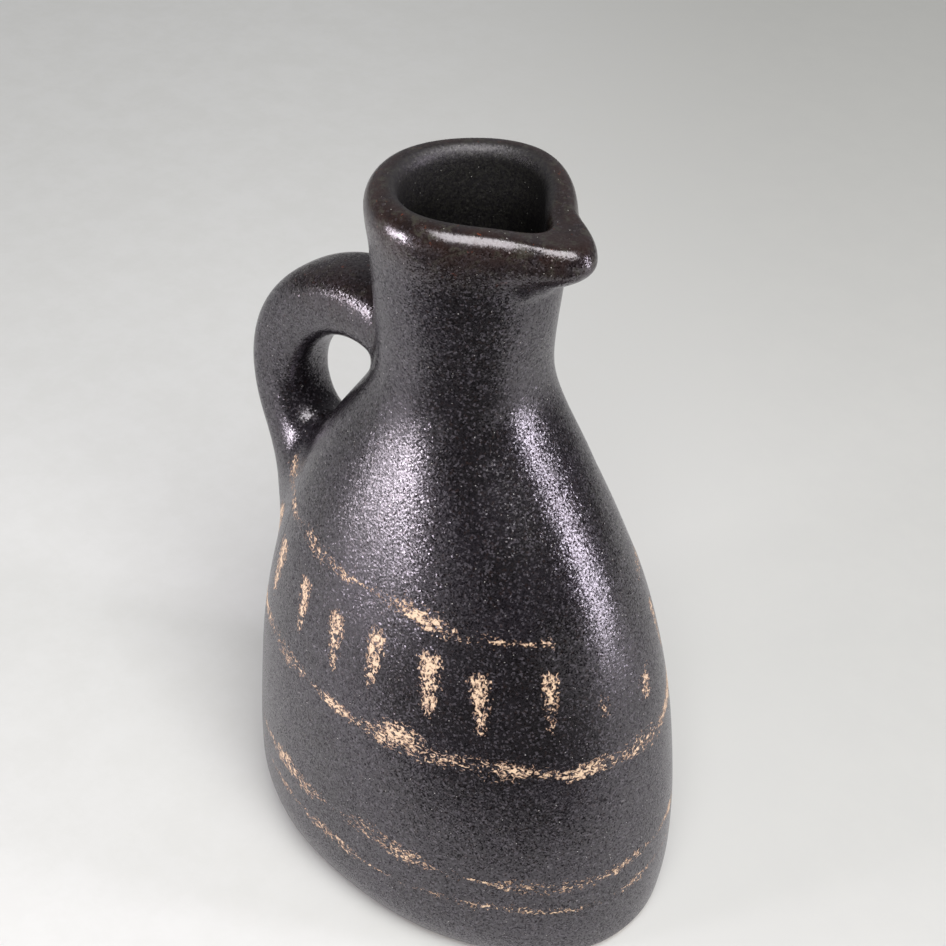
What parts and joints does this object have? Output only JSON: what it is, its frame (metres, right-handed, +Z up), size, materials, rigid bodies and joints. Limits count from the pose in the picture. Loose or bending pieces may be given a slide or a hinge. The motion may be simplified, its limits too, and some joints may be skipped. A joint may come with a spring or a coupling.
{
  "type": "ceramic jug",
  "caption": "Small glazed stoneware jug with an oval body, a narrow round neck with a pinched spout, and a pulled loop handle for one finger.",
  "frame": {"origin": "middle of the flat foot, in the plane that the jug stands on", "axes": "+Z up, +X from the handle to the spout, +Y across the narrow way of the oval body"},
  "size_m": [0.1182, 0.0792, 0.17],
  "materials": {
    "glaze": "satin near-black glaze with a violet-grey sheen, a fine pitted grain, brown where it thins on the edges and dry cream brush marks",
    "foot_clay": "bare fired clay under the foot, with the dark glaze wiped back at its edge"
  },
  "bodies": {
    "root": {"base": "foot_clay", "body_wall": "glaze", "neck": "glaze", "handle": "glaze"}
  },
  "joints": []
}
